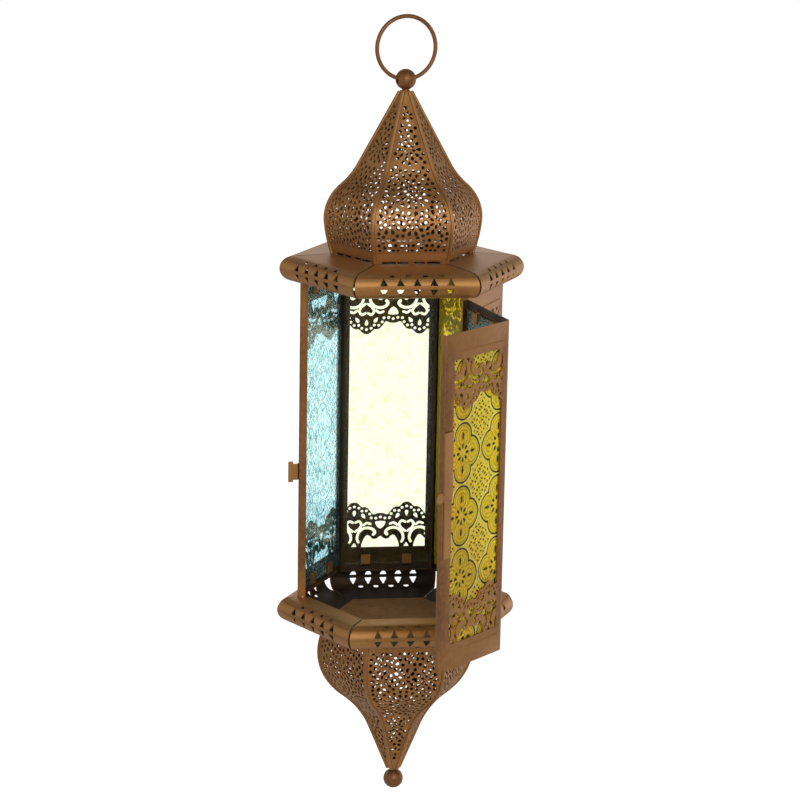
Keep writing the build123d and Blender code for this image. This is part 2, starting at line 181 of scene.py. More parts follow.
class GlassSizes(bpy.types.PropertyGroup):
    """Pressed relief of the panes."""

    cell_width: bpy.props.FloatProperty(
        name="Cell width", description="Width of one pressed cell", default=34.8 * MM, unit="LENGTH"
    )
    cell_height: bpy.props.FloatProperty(
        name="Cell height", description="Height of one pressed cell", default=38.6 * MM, unit="LENGTH"
    )
    depth: bpy.props.FloatProperty(
        name="Depth", description="Depth of the relief", default=0.25 * MM, unit="LENGTH"
    )
    rib: bpy.props.FloatProperty(
        name="Rib", description="Width of the rib between two cells", default=2.2 * MM, unit="LENGTH"
    )
    grain: bpy.props.FloatProperty(
        name="Grain", description="Size of the relief mesh's squares", default=0.5 * MM, unit="LENGTH"
    )


class Colours(bpy.types.PropertyGroup):
    """Paint and glass colours, as linear values."""

    bronze: bpy.props.FloatVectorProperty(
        name="Bronze", description="Main colour of the paint", subtype="COLOR", size=4,
        default=(0.275, 0.118, 0.038, 1.0),
    )
    bronze_dark: bpy.props.FloatVectorProperty(
        name="Dark bronze", description="Paint in its darker clouds", subtype="COLOR", size=4,
        default=(0.180, 0.074, 0.022, 1.0),
    )
    bronze_worn: bpy.props.FloatVectorProperty(
        name="Worn bronze", description="Paint rubbed bright on edges", subtype="COLOR", size=4,
        default=(0.50, 0.25, 0.070, 1.0),
    )
    # Painted shade: a near-black colour for the inner sides of the sheets, standing for the dim inside of the lantern
    inside_shade_colour: bpy.props.FloatVectorProperty(
        name="Inside", description="Thin dark paint on the inner sides", subtype="COLOR", size=4,
        default=(0.060, 0.030, 0.013, 1.0),
    )
    floor: bpy.props.FloatVectorProperty(
        name="Floor", description="Dull paint on the floor plate", subtype="COLOR", size=4,
        default=(0.42, 0.19, 0.075, 1.0),
    )
    # Each glass has a deep colour, painted shade for its pressed lines, flecks and dark streaks
    turquoise: bpy.props.FloatVectorProperty(
        name="Turquoise", description="Turquoise glass", subtype="COLOR", size=4, default=(0.42, 0.86, 0.94, 1.0)
    )
    turquoise_deep: bpy.props.FloatVectorProperty(
        name="Deep turquoise", description="Turquoise glass in its lines", subtype="COLOR", size=4,
        default=(0.02, 0.20, 0.26, 1.0),
    )
    green: bpy.props.FloatVectorProperty(
        name="Green", description="Green glass", subtype="COLOR", size=4, default=(0.96, 1.0, 0.80, 1.0)
    )
    green_deep: bpy.props.FloatVectorProperty(
        name="Deep green", description="Green glass in its lines", subtype="COLOR", size=4,
        default=(0.72, 0.86, 0.34, 1.0),
    )
    amber: bpy.props.FloatVectorProperty(
        name="Amber", description="Amber glass", subtype="COLOR", size=4, default=(1.0, 0.74, 0.02, 1.0)
    )
    amber_deep: bpy.props.FloatVectorProperty(
        name="Deep amber", description="Amber glass in its lines", subtype="COLOR", size=4,
        default=(0.012, 0.003, 0.0005, 1.0),
    )


class StageSizes(bpy.types.PropertyGroup):
    """Camera and studio."""

    azimuth: bpy.props.FloatProperty(
        name="Azimuth", description="Camera's way round the lantern", default=radians(-8.0), subtype="ANGLE"
    )
    elevation: bpy.props.FloatProperty(
        name="Elevation", description="Camera's height angle", default=radians(14.38), subtype="ANGLE"
    )
    distance: bpy.props.FloatProperty(
        name="Distance", description="Camera to the lantern's middle", default=1720.5 * MM, unit="LENGTH"
    )
    aim: bpy.props.FloatProperty(
        name="Aim", description="Level that the distance is measured to", default=-273.4 * MM, unit="LENGTH"
    )
    pitch: bpy.props.FloatProperty(
        name="Pitch", description="Camera tipped up", default=radians(0.917), subtype="ANGLE"
    )
    roll: bpy.props.FloatProperty(
        name="Roll", description="Camera turned about its line of sight", default=radians(-1.047), subtype="ANGLE"
    )
    lens: bpy.props.FloatProperty(
        name="Lens", description="Focal length in millimetres", default=119.47, subtype="DISTANCE_CAMERA"
    )
    floor: bpy.props.FloatProperty(
        name="Floor", description="Level of the studio floor", default=-1300.0 * MM, unit="LENGTH"
    )


class LanternSettings(bpy.types.PropertyGroup):
    """All sizes and colours of the lantern's looks."""

    sheet: bpy.props.PointerProperty(type=SheetSizes)
    pierce: bpy.props.PointerProperty(type=PierceSizes)
    lace: bpy.props.PointerProperty(type=LaceSizes)
    glass: bpy.props.PointerProperty(type=GlassSizes)
    colours: bpy.props.PointerProperty(type=Colours)
    stage: bpy.props.PointerProperty(type=StageSizes)


# Outlines that sheets are bent along


class Bend:
    """An outline that a sheet is bent along, with the way out of the sheet on its right."""

    def __init__(self, points):
        self.points = np.array(points, float)
        steps = np.diff(self.points, axis=0)
        lengths = np.hypot(steps[:, 0], steps[:, 1])
        self.marks = np.concatenate([[0.0], np.cumsum(lengths)])
        out = np.column_stack([steps[:, 1], -steps[:, 0]]) / lengths[:, None]
        before = np.vstack([out[:1], out])
        after = np.vstack([out, out[-1:]])
        share = 1 + np.sum(before * after, axis=1)
        self.out = (before + after) / share[:, None]

    @property
    def length(self):
        return self.marks[-1]

    def at(self, along, depth=0.0):
        """Points at distances along the outline, drawn back into the sheet by a depth."""
        place = [np.interp(along, self.marks, self.points[:, i]) for i in (0, 1)]
        out = [np.interp(along, self.marks, self.out[:, i]) for i in (0, 1)]
        return place[0] - depth * out[0], place[1] - depth * out[1]


def arc_points(start, way, end, count):
    """Points after start on the arc that leaves start along way and reaches end, and the way it arrives."""
    start, way, end = (np.array(v, float) for v in (start, way, end))
    chord = end - start
    half = atan2(way[0] * chord[1] - way[1] * chord[0], way @ chord)

    def way_turned(angle):
        return np.array([way[0] * cos(angle) - way[1] * sin(angle), way[0] * sin(angle) + way[1] * cos(angle)])

    points = []
    for k in range(1, count + 1):
        part = half * k / count
        reach = np.linalg.norm(chord) * sin(part) / sin(half)
        points.append(start + reach * way_turned(part))
    return points, way_turned(2 * half)


def ogee_bend(widest, turn, straight):
    """Middle outline of an ogee panel from its base to its tip: distance from the axis, height."""
    way = np.subtract(straight, OGEE_TIP)
    way = way / np.linalg.norm(way)
    points = [np.array(OGEE_TIP), np.array(straight)]
    for start, end, count in ((straight, turn, 6), (turn, widest, 9), (widest, OGEE_BASE, 8)):
        found, way = arc_points(start, way, end, count)
        points += found
    return Bend(points[::-1])


def eave_bend(flange):
    """Outline of an eave strip from its flange, that far inside the body's face, round the roll to its web."""
    centre = EAVE_OUT - EAVE_ROLL
    points = [(BODY_APOTHEM - flange, -EAVE_ROLL)]
    for k in range(19):
        angle = -pi / 2 + pi * k / 18
        points.append((centre + EAVE_ROLL * cos(angle), EAVE_ROLL * sin(angle)))
    points.append((EAVE_IN, EAVE_ROLL + EAVE_WEB_RISE))
    return Bend(points)


def tray_bend(left, right):
    """Outline across a body frame: a flange, the face and a flange, folded with small rounds."""
    lean = np.array([sin(radians(30)), cos(radians(30))])
    set_back = FOLD_RADIUS * tan(radians(60))
    corners = ((np.array([left, -BODY_APOTHEM]), 1.0), (np.array([right, -BODY_APOTHEM]), -1.0))
    runs = []
    for corner, side in corners:
        inward = np.array([side * lean[0], lean[1]])
        along = np.array([side, 0.0])
        fold = corner + set_back * inward
        found, _ = arc_points(fold, -inward, corner + set_back * along, 4)
        runs.append([corner + FRAME_FLANGE * inward, fold] + found)
    return Bend(runs[0] + runs[1][::-1])


# Flat patterns: closed loops of points in millimetres


def disc(x, y, radius, count=10):
    """Round hole."""
    turns = np.linspace(0, 2 * pi, count, endpoint=False)
    return np.column_stack([x + radius * np.cos(turns), y + radius * np.sin(turns)])


def drop(x, y, length, width, turn, count=12):
    """Drop-shaped hole about a point, its sharp end down before it is turned."""
    t = np.linspace(0, 2 * pi, count, endpoint=False)
    across = width / 2 * np.sin(t) * np.sin(t / 2) ** 0.9 * 1.12
    along = -length / 2 * np.cos(t)
    return np.column_stack([x + across * cos(turn) - along * sin(turn), y + across * sin(turn) + along * cos(turn)])


def rounded(corners, share=0.28, steps=3):
    """Corners joined with their points cut round."""
    corners = np.array(corners, float)
    loop = []
    for k in range(len(corners)):
        here, last, following = corners[k], corners[k - 1], corners[(k + 1) % len(corners)]
        start = here + share * (last - here)
        end = here + share * (following - here)
        for j in range(steps + 1):
            t = j / steps
            loop.append((1 - t) ** 2 * start + 2 * t * (1 - t) * here + t * t * end)
    return np.array(loop)


def smooth_path(points, steps=5):
    """A smooth line through the points."""
    points = np.array(points, float)
    ends = np.vstack([2 * points[0] - points[1], points, 2 * points[-1] - points[-2]])
    line = []
    for k in range(1, len(ends) - 2):
        a, b, c, d = ends[k - 1], ends[k], ends[k + 1], ends[k + 2]
        for j in range(steps):
            t = j / steps
            bent = (2 * a - 5 * b + 4 * c - d) * t**2 + (3 * b - a - 3 * c + d) * t**3
            line.append(0.5 * (2 * b + (c - a) * t + bent))
    line.append(points[-1])
    return np.array(line)


def slot(points, width, end_width=None):
    """Slot of rounded ends along a smooth line, its width changing to the end width."""
    line = smooth_path(points)
    way = np.gradient(line, axis=0)
    way /= np.hypot(way[:, 0], way[:, 1])[:, None]
    side = np.column_stack([-way[:, 1], way[:, 0]])
    half = np.linspace(width, end_width or width, len(line))[:, None] / 2
    left = line + side * half
    right = line - side * half
    caps = []
    for k in (-1, 0):
        ahead = way[k] if k == -1 else -way[k]
        across = side[k] if k == -1 else -side[k]
        turns = np.linspace(0, pi, 5)[1:-1]
        caps.append([line[k] + half[k] * (across * cos(t) + ahead * sin(t)) for t in turns])
    return np.vstack([left, caps[0], right[::-1], caps[1]])


def mirrored(loop):
    """A loop mirrored across x = 0."""
    return np.array(loop) * (-1, 1)


def anticlockwise(loop):
    """The loop, turned round if it runs clockwise."""
    x, y = np.array(loop, float).T
    area = np.sum(x * np.roll(y, -1) - np.roll(x, -1) * y)
    return np.array(loop)[::-1] if area < 0 else np.array(loop)


def flat_sheet(outline, holes, bends, clip=None):
    """Triangles of a flat sheet inside its outline with the holes left out, cut along the bend lines.

    With a clip loop, holes are open only inside it.
    """
    loops = [outline] + ([clip] if clip is not None else []) + list(holes)
    points, edges, faces = [], [], []
    for loop in loops:
        first = len(points)
        count = len(loop)
        points += [Vector((float(x), float(y))) for x, y in anticlockwise(loop)]
        edges += [(first + k, first + (k + 1) % count) for k in range(count)]
        faces.append(list(range(first, first + count)))
    for start, end in bends:
        edges.append((len(points), len(points) + 1))
        points += [Vector(start), Vector(end)]
    found = delaunay_2d_cdt(points, edges, faces, 0, 1e-4)
    hole_ids = set(range(1 if clip is None else 2, len(loops)))
    keep = []
    for triangle, origin in zip(found[2], found[5]):
        inside = set(origin)
        open_here = inside & hole_ids and (clip is None or 1 in inside)
        if 0 in inside and not open_here:
            keep.append(triangle)
    used = sorted({k for triangle in keep for k in triangle})
    number = {k: n for n, k in enumerate(used)}
    flat = np.array([found[0][k][:] for k in used])
    return flat, np.array([[number[k] for k in triangle] for triangle in keep])


def sheet_solid(front, back, triangles):
    """Points and faces of a sheet between its front and back, with its rims closed: front, back, rims."""
    count = len(front)
    faces = [tuple(t) for t in triangles] + [tuple(count + k for k in t[::-1]) for t in triangles]
    ways = set()
    for a, b, c in triangles:
        ways |= {(a, b), (b, c), (c, a)}
    faces += [(b, a, count + a, count + b) for a, b in sorted(ways) if (b, a) not in ways]
    return np.vstack([front, back]), faces


def strip_pattern(edge, marks, holes):
    """Flat pattern of a sheet that reaches out to its edge on both sides at each mark along its bend."""
    outline = np.vstack([np.column_stack([edge, marks]), np.column_stack([-edge, marks])[::-1]])
    lines = [((-e - 1, m), (e + 1, m)) for e, m in zip(edge[1:-1], marks[1:-1])]
    return flat_sheet(outline, holes, lines)


def bent_sheet(bend, flat, triangles, up):
    """Points and faces of a flat pattern bent on face 0, upside down where up is -1."""
    thick = bpy.context.scene.lantern.sheet.thickness / MM
    across, along = flat.T
    out_0, up_0 = bend.at(along)
    out_1, up_1 = bend.at(along, thick)
    front = np.column_stack([across, -out_0, up * up_0])
    back = np.column_stack([across * out_1 / out_0, -out_1, up * up_1])
    points, faces = sheet_solid(front, back, triangles)
    return points, [face[::up] for face in faces]


def turned(points, face):
    """Points of face 0 turned to another face of the hexagon."""
    angle = radians(60 * face)
    turn = np.array([[cos(angle), sin(angle), 0], [-sin(angle), cos(angle), 0], [0, 0, 1]])
    return points @ turn


def swung(points):
    """Points of the closed door turned about the hinge to where the door stands open."""
    hinge = np.array([HINGE.x, HINGE.y, 0])
    turn = np.array([[cos(DOOR_OPEN), sin(DOOR_OPEN), 0], [-sin(DOOR_OPEN), cos(DOOR_OPEN), 0], [0, 0, 1]])
    return (points - hinge) @ turn + hinge


def add_piece(name, points, faces, materials, node, body, sharp=35, inside=()):
    """A finished piece from points in millimetres that stands for a CAD node and rides on a body.

    The faces counted in inside get the second material, the dark paint of painted shade.
    """
    mesh = bpy.data.meshes.new(name)
    mesh.from_pydata((np.asarray(points) * MM).tolist(), [], [[int(k) for k in face] for face in faces])
    for material in materials:
        mesh.materials.append(material)
    for k in inside:
        mesh.polygons[k].material_index = 1
    mesh.shade_smooth()
    mesh.set_sharp_from_angle(angle=radians(sharp))
    piece = bpy.data.objects.new(name, mesh)
    bpy.context.scene.collection.objects.link(piece)
    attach(piece, body)
    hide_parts(node)
    return piece


def joined(parts):
    """Points and faces of several solids as one list."""
    points, faces, count = [], [], 0
    for some, around in parts:
        points.append(np.asarray(some, float))
        faces += [tuple(count + k for k in face) for face in around]
        count += len(some)
    return np.vstack(points), faces


def block(low, high):
    """Points and faces of a plain block, used for bent tabs."""
    points = [(x, y, z) for z in (low[2], high[2]) for y in (low[1], high[1]) for x in (low[0], high[0])]
    faces = [(0, 2, 3, 1), (4, 5, 7, 6), (0, 1, 5, 4), (2, 6, 7, 3), (0, 4, 6, 2), (1, 3, 7, 5)]
    return points, faces


# Finishes


def node_group(name, inputs, outputs):
    """A new shader group with its sockets, and its input and output nodes."""
    group = bpy.data.node_groups.new(name, "ShaderNodeTree")
    for label, kind, default in inputs:
        socket = group.interface.new_socket(label, in_out="INPUT", socket_type=kind)
        socket.default_value = default
    for label, kind in outputs:
        group.interface.new_socket(label, in_out="OUTPUT", socket_type=kind)
    return group, group.nodes.new("NodeGroupInput"), group.nodes.new("NodeGroupOutput")


def add_node(tree, kind, values):
    """A new shader node with values on its inputs."""
    node = tree.nodes.new(kind)
    for label, value in values.items():
        node.inputs[label].default_value = value
    return node


def ranged(tree, value, limits):
    """A value carried from one range into another."""
    node = add_node(tree, "ShaderNodeMapRange", limits)
    tree.links.new(value, node.inputs["Value"])
    return node.outputs["Result"]


def combined(tree, operation, first, second):
    """Two values put together by a sum of math."""
    node = tree.nodes.new("ShaderNodeMath")
    node.operation = operation
    tree.links.new(first, node.inputs[0])
    tree.links.new(second, node.inputs[1])
    return node.outputs["Value"]


def mixed(tree, share, first, second):
    """The first colour passing into the second."""
    node = tree.nodes.new("ShaderNodeMix")
    node.data_type = "RGBA"
    tree.links.new(share, node.inputs["Factor"])
    tree.links.new(first, node.inputs[6])
    tree.links.new(second, node.inputs[7])
    return node.outputs[2]


def noise(tree, place, values):
    """Noise at a place."""
    node = add_node(tree, "ShaderNodeTexNoise", values)
    tree.links.new(place, node.inputs["Vector"])
    return node.outputs["Fac"]


def seen_ray(tree):
    """One for what the camera sees, straight or through glass."""
    path = tree.nodes.new("ShaderNodeLightPath").outputs
    return combined(tree, "MAXIMUM", path["Is Camera Ray"], path["Is Transmission Ray"])


def paint_group():
    """Clouded metallic paint: colour, roughness and a fine orange-peel height."""
    tree, given, made = node_group(
        "sprayed_paint",
        [
            ("Paint", "NodeSocketColor", (0.2, 0.1, 0.03, 1)),
            ("Shade", "NodeSocketColor", (0.1, 0.05, 0.02, 1)),
            ("Worn", "NodeSocketColor", (0.5, 0.3, 0.1, 1)),
            ("Wear", "NodeSocketFloat", 0.5),
            ("Dull", "NodeSocketFloat", 0.0),
        ],
        [("Colour", "NodeSocketColor"), ("Roughness", "NodeSocketFloat"), ("Height", "NodeSocketFloat")],
    )
    links = tree.links
    place = tree.nodes.new("ShaderNodeTexCoord").outputs["Object"]
    clouds = noise(tree, place, {"Scale": 45, "Detail": 5})
    mottle = noise(tree, place, {"Scale": 330, "Detail": 3})
    both = add_node(tree, "ShaderNodeMix", {"Factor": 0.5})
    links.new(clouds, both.inputs["A"])
    links.new(mottle, both.inputs["B"])
    uneven = both.outputs["Result"]
    light = ranged(tree, uneven, {"From Min": 0.38, "From Max": 0.62})
    colour = mixed(tree, light, given.outputs["Shade"], given.outputs["Paint"])
    edges = tree.nodes.new("ShaderNodeNewGeometry").outputs["Pointiness"]
    sharp = ranged(tree, edges, {"From Min": 0.53, "From Max": 0.64})
    scuff = combined(tree, "MULTIPLY", sharp, given.outputs["Wear"])
    links.new(mixed(tree, scuff, colour, given.outputs["Worn"]), made.inputs["Colour"])
    gloss = ranged(tree, uneven, {"To Min": 0.42, "To Max": 0.60})
    links.new(combined(tree, "ADD", gloss, given.outputs["Dull"]), made.inputs["Roughness"])
    links.new(mottle, made.inputs["Height"])
    return tree


def glass_group():
    """Pressed glass: painted shade on the lines and flecks of the pressing, painted highlight on its ribs, pale and
    dark streaks painted as highlight and shade of the wavy glass, uneven gloss, wavy height.
    """
    tree, given, made = node_group(
        "pressed_glass",
        [
            ("Tint", "NodeSocketColor", (0.5, 0.8, 0.5, 1)),
            ("Deep", "NodeSocketColor", (0.1, 0.2, 0.1, 1)),
            ("Line", "NodeSocketFloat", 0.8),
            ("Dark", "NodeSocketFloat", 0.3),
            ("Pale", "NodeSocketFloat", 0.3),
        ],
        [("Colour", "NodeSocketColor"), ("Roughness", "NodeSocketFloat"), ("Height", "NodeSocketFloat")],
    )
    links = tree.links

    def mask(value, start, end, share):
        """How far a value lies from start to end, times a share."""
        part = ranged(tree, value, {"From Min": start, "From Max": end})
        return combined(tree, "MULTIPLY", part, given.outputs[share])

    def mark(name):
        """One of the marks that the pressing left on the mesh."""
        node = tree.nodes.new("ShaderNodeAttribute")
        node.attribute_name = name
        return node.outputs["Fac"]

    place = tree.nodes.new("ShaderNodeTexCoord")
    drawn = add_node(tree, "ShaderNodeMapping", {"Scale": (1, 1, 0.55)})
    links.new(place.outputs["Object"], drawn.inputs["Vector"])
    streaks = noise(tree, drawn.outputs["Vector"], {"Scale": 330, "Detail": 3, "Distortion": 1.2})
    off_line = tree.nodes.new("ShaderNodeMath")
    off_line.operation = "ABSOLUTE"
    links.new(mark("edge"), off_line.inputs[0])
    line = mask(off_line.outputs["Value"], 0.75, 0.35, "Line")
    fleck = mask(mark("fleck"), 0.12, 0.5, "Line")
    rib = mask(mark("rib"), 0.0, 1.0, "Line")
    # Pale streaks are a painted highlight and dark streaks a painted shade, following the same noise as the wavy height
    pale = mask(streaks, 0.50, 0.57, "Pale")
    dark = mask(streaks, 0.43, 0.35, "Dark")
    # The brightened tint is a painted highlight on the ribs and pale streaks
    bright = add_node(tree, "ShaderNodeGamma", {"Gamma": 0.35})
    links.new(given.outputs["Tint"], bright.inputs["Color"])
    raised = combined(tree, "MAXIMUM", pale, rib)
    colour = mixed(tree, raised, given.outputs["Tint"], bright.outputs["Color"])
    # Lines, flecks and dark streaks take the deep colour as painted shade
    deep = combined(tree, "MAXIMUM", combined(tree, "MAXIMUM", line, fleck), dark)
    links.new(mixed(tree, deep, colour, given.outputs["Deep"]), made.inputs["Colour"])
    links.new(ranged(tree, streaks, {"To Min": 0.03, "To Max": 0.12}), made.inputs["Roughness"])
    links.new(streaks, made.inputs["Height"])
    return tree


def finish_with(name, group, values, bump, settings):
    """A Principled finish whose colour, roughness and bump come from a group.

    The bump is its strength and its height in millimetres.
    """
    material = bpy.data.materials.get(name)
    if material:
        return material
    material = bpy.data.materials.new(name)
    material.use_nodes = True
    tree = material.node_tree
    links = tree.links
    shader = tree.nodes["Principled BSDF"]
    effect = tree.nodes.new("ShaderNodeGroup")
    effect.node_tree = bpy.data.node_groups.get(group.__name__) or named_group(group)
    for label, value in values.items():
        effect.inputs[label].default_value = value
    raised = add_node(tree, "ShaderNodeBump", {"Strength": bump[0], "Distance": bump[1] * MM})
    links.new(effect.outputs["Colour"], shader.inputs["Base Color"])
    links.new(effect.outputs["Roughness"], shader.inputs["Roughness"])
    links.new(effect.outputs["Height"], raised.inputs["Height"])
    links.new(raised.outputs["Normal"], shader.inputs["Normal"])
    for label, value in settings.items():
        shader.inputs[label].default_value = value
    return material


def named_group(maker):
    """The group of a maker, kept under the maker's own name."""
    group = maker()
    group.name = maker.__name__
    return group


def bronze_paint():
    """Antique bronze spray paint over steel."""
    colours = bpy.context.scene.lantern.colours
    values = {"Paint": colours.bronze, "Shade": colours.bronze_dark, "Worn": colours.bronze_worn, "Wear": 0.5}
    return finish_with("antique_bronze", paint_group, values, (0.25, 0.1), {"Metallic": 0.7})


def shade_inside_paint():
    """Dark paint on the inner sides of the sheets, painted shade for the dim inside of the lantern."""
    dark = bpy.context.scene.lantern.colours.inside_shade_colour
    shade = [0.6 * value for value in dark[:3]] + [1.0]
    values = {"Paint": dark, "Shade": shade, "Worn": dark, "Wear": 0.0, "Dull": 0.12}
    return finish_with("dark_inside", paint_group, values, (0.2, 0.05), {"Metallic": 0.25})


def floor_paint():
    """Dull brown paint on the floor plate."""
    colours = bpy.context.scene.lantern.colours
    shade = [0.7 * value for value in colours.floor[:3]] + [1.0]
    values = {"Paint": colours.floor, "Shade": shade, "Worn": colours.floor, "Wear": 0.0, "Dull": 0.3}
    return finish_with("dull_floor", paint_group, values, (0.2, 0.05), {"Metallic": 0.0})


def pane_glass(colour):
    """Coloured pressed glass."""
    colours = bpy.context.scene.lantern.colours
    # Line scales the painted shade on lines and flecks and the painted highlight on ribs; Dark and Pale scale the
    # painted shade and highlight of the streaks
    looks = {
        "amber": {"Line": 1.0, "Dark": 0.2, "Pale": 0.15},
        "turquoise": {"Line": 0.7, "Dark": 1.0, "Pale": 1.0},
        "green": {"Line": 0.25, "Dark": 0.8, "Pale": 0.3},
    }
    values = {"Tint": getattr(colours, colour), "Deep": getattr(colours, colour + "_deep")} | looks[colour]
    clear, wave = {"amber": (0.66, 0.3), "turquoise": (0.95, 0.9), "green": (1.0, 0.3)}[colour]
    settings = {"Transmission Weight": clear, "IOR": 1.3}
    return finish_with("pressed_" + colour, glass_group, values, (wave, 0.3), settings)


# Dome and onion


def dome_rosettes(bend):
    """Drops of the rosettes and of the foot row on an ogee panel: across, along, length, width and turn."""

    def along(height):
        """Distance along the panel to a height."""
        return float(np.interp(height, bend.points[:, 1], bend.marks))

    small = ((2.8, 6, 3.0, 2.2), (6.3, 10, 3.7, 2.9))
    # Across, height, and for each ring its radius and its drops' count, length and width
    flowers = (
        (0.0, 45.0, ((3.4, 8, 3.2, 2.2), (7.2, 12, 4.0, 2.9), (11.2, 17, 3.0, 2.6))),
        (0.0, 69.0, ((2.8, 7, 2.9, 2.0), (6.0, 10, 3.4, 2.6), (9.2, 14, 2.8, 2.5))),
        (0.0, 88.5, ((2.4, 6, 2.6, 1.9),)),
        (0.0, 26.0, small),
        (-14.6, 27.0, small),
        (14.6, 27.0, small),
    )
    holes = []
    for x, height, rings in flowers:
        middle = along(height)
        for n, (radius, count, length, width) in enumerate(rings):
            for k in range(count):
                turn = 2 * pi * (k + 0.5 * n) / count
                holes.append((x - radius * sin(turn), middle + radius * cos(turn), length, width, turn))
    foot_pitch, foot_height = 2.9, 8.8
    for k in range(-8, 9):
        if k % 4 != 2:
            holes.append((foot_pitch * k, along(foot_height), 1.8, 2.6, 0.0))
    return holes


def dome_holes(bend):
    """All hole loops of an ogee panel: rosettes, then small holes wherever there is room."""
    sizes = bpy.context.scene.lantern.pierce
    radius = sizes.fill_hole / MM / 2
    pitch = sizes.fill_pitch / MM
    rim = 2.0

    def room(x, y):
        """Distance from a place to the panel's rim."""
        return bend.at(y)[0] * HALF_TAN - rim - abs(x)

    placed = []
    loops = []
    for x, y, length, width, turn in dome_rosettes(bend):
        if room(x, y) > width / 2:
            placed.append((x, y))
            loops.append(drop(x, y, length, width, turn))
    step = 0.7
    low, high = 11.0, bend.length - 7.0
    rows = np.arange(low, high, step)
    for n, y in enumerate(rows):
        reach = float(bend.at(y)[0]) * HALF_TAN
        for x in np.arange(-reach, reach, step) + 0.3 * (n % 3):
            if room(x, y) < radius:
                continue
            if min(np.hypot(x - a, y - b) for a, b in placed) >= pitch:
                placed.append((x, y))
                loops.append(disc(x, y, radius, 8))
    return loops


def ogee_sheet(bend):
    """Flat pattern of an ogee panel."""
    edge = bend.points[:, 0] * HALF_TAN - SEAT / cos(radians(30))
    edge = np.maximum(edge, 0.4)
    marks = bend.marks.copy()
    marks[0] = SEAT
    return strip_pattern(edge, marks, dome_holes(bend) + foot_notches())


def foot_notches():
    """Shallow notches along a panel's foot, so that it stands on small feet."""
    loops = []
    for start, end, rise in ((1.8, 8.6, 1.5), (9.8, 18.6, 1.6)):
        for side in (1, -1):
            loops.append(np.array([(side * start, -1), (side * end, -1), (side * end, rise), (side * start, rise)]))
    return loops


class LANTERN_OT_dome(bpy.types.Operator):
    """Pierced ogee panels of the dome above and the onion below"""

    bl_idname = "lantern.dome"
    bl_label = "Dome and onion panels"

    def execute(self, context):
        self.panels("dome", ogee_bend(*DOME_TURNS), DOME_BASE, 1)
        self.panels("onion", ogee_bend(*ONION_TURNS), ONION_BASE, -1)
        return {"FINISHED"}

    def panels(self, name, bend, level, up):
        """Six panels round the axis that stand up from a level or hang down from it."""
        flat, triangles = ogee_sheet(bend)
        points, faces = bent_sheet(bend, flat, triangles, up)
        # Back faces get the dark paint as painted shade for the inside of the dome and onion
        inner = range(len(triangles), 2 * len(triangles))
        for k in range(6):
            add_piece(f"{name}_sheet_{k + 1}", turned(points, k) + (0, 0, level), faces,
                      (bronze_paint(), shade_inside_paint()), f"{name}_panel_{k + 1}", "lantern", inside=inner)


# Eaves


def eave_holes(bend):
    """Triangles and half-round holes along an eave's roll."""
    sizes = bpy.context.scene.lantern.pierce
    pitch = sizes.eave_pitch / MM
    crest = bend.marks[1] + EAVE_ROLL * pi / 2
    low = EAVE_ROLL * radians(26.5)
    far = EAVE_ROLL * radians(58)
    half = 2.6
    loops = []
    for k in range(sizes.eave_count):
        x = pitch * (k - (sizes.eave_count - 1) / 2)
        for side in (1, -1):
            y = crest + side * low
            tip = [(-half, -side * half), (half, -side * half), (0, side * half)]
            loops.append(rounded(np.array(tip) + (x, y), 0.16))
            if k:
                y = crest + side * far
                bow = [(-2.1, -side * 1.1), (2.1, -side * 1.1), (1.3, side * 1.2), (-1.3, side * 1.2)]
                loops.append(rounded(np.array(bow) + (x - pitch / 2, y), 0.35))
    return loops


def eave_sheet(bow, flange):
    """Flat pattern of an eave strip whose ends bow in on the roll, and its bend."""
    sizes = bpy.context.scene.lantern.sheet
    bend = eave_bend(flange)
    gap = sizes.mitre_gap / MM / 2 / cos(radians(30))
    on_roll = np.clip((bend.marks - bend.marks[1]) / (bend.marks[-2] - bend.marks[1]), 0, 1)
    edge = bend.points[:, 0] * HALF_TAN - gap - bow * np.sin(pi * on_roll)
    return bend, *strip_pattern(edge, bend.marks, eave_holes(bend))


class LANTERN_OT_eaves(bpy.types.Operator):
    """Rolled and pierced eave strips above and below the body"""

    bl_idname = "lantern.eaves"
    bl_label = "Eave strips"

    def execute(self, context):
        sizes = context.scene.lantern.sheet
        wide, narrow = sizes.door_flange / MM, sizes.side_flange / MM
        top = TOP_CREST + EAVE_ROLL
        bottom = node_box("bottom_eave_1")[1].z - EAVE_ROLL
        self.strips("top", range(6), top, 1, sizes.front_bow / MM, wide)
        self.strips("bottom", (0, 5), bottom, -1, sizes.front_bow / MM, wide)
        self.strips("bottom", (1, 2, 3, 4), bottom, -1, sizes.back_bow / MM, narrow)
        return {"FINISHED"}

    def strips(self, name, sides, crest, up, bow, flange):
        """Strips on some sides of the body, their webs up or down from the crest of the roll."""
        bend, flat, triangles = eave_sheet(bow, flange)
        points, faces = bent_sheet(bend, flat, triangles, up)
        # Back faces, and rim faces nearer the axis than the roll's middle, get the dark paint as painted shade
        inner = list(range(len(triangles), 2 * len(triangles)))
        for k in range(2 * len(triangles), len(faces)):
            if -points[list(faces[k])].mean(axis=0)[1] < EAVE_OUT - EAVE_ROLL:
                inner.append(k)
        for k in sides:
            add_piece(f"{name}_eave_sheet_{k + 1}", turned(points, k) + (0, 0, crest), faces,
                      (bronze_paint(), shade_inside_paint()), f"{name}_eave_{k + 1}", "lantern", inside=inner)


# Body frames with their lace


